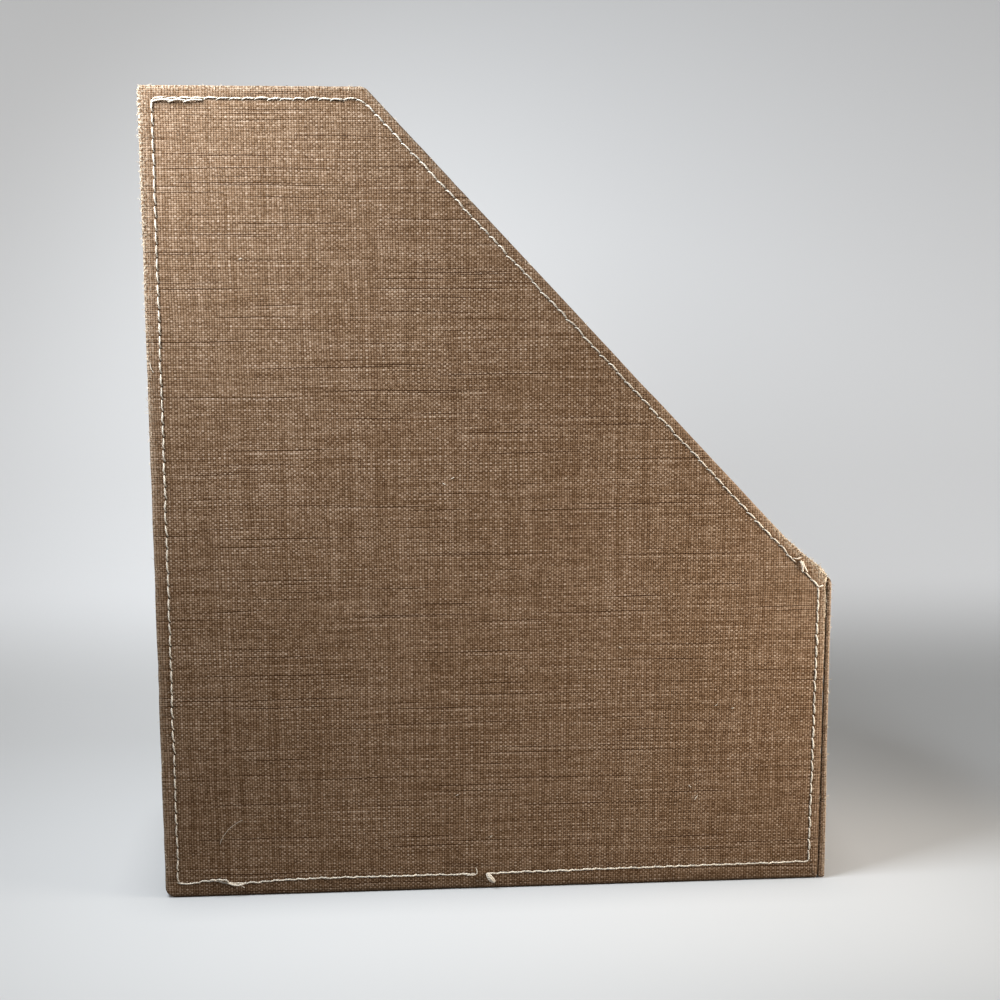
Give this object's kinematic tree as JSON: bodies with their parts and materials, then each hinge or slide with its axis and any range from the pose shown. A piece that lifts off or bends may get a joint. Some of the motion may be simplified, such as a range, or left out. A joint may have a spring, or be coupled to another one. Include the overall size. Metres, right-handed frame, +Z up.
{
  "type": "file holder",
  "caption": "Open desk file holder with a high back and sloped sides, of greyboard panels wrapped in linen cloth, lined and topstitched near their edges.",
  "frame": {"origin": "under the middle of the holder, on the surface that it stands on", "axes": "+X from the high back to the low open front, +Y from the near side to the far side, +Z up"},
  "size_m": [0.2604, 0.101, 0.305],
  "materials": {
    "cover_linen": "matte",
    "lining_linen": "matte",
    "greyboard": "matte",
    "thread": "satin"
  },
  "bodies": {
    "root": {"near_side_board": "greyboard", "near_side_cover": "cover_linen", "near_side_lining": "lining_linen", "far_side_board": "greyboard", "far_side_cover": "cover_linen", "far_side_lining": "lining_linen", "back_board": "greyboard", "back_cover": "cover_linen", "back_lining": "lining_linen", "front_board": "greyboard", "front_cover": "cover_linen", "front_lining": "lining_linen", "base_board": "greyboard", "base_cover": "cover_linen", "base_lining": "lining_linen", "near_side_needle_thread": "thread", "near_side_bobbin_thread": "thread", "far_side_needle_thread": "thread", "far_side_bobbin_thread": "thread", "back_needle_thread": "thread", "back_bobbin_thread": "thread", "front_needle_thread": "thread", "front_bobbin_thread": "thread"}
  },
  "joints": []
}
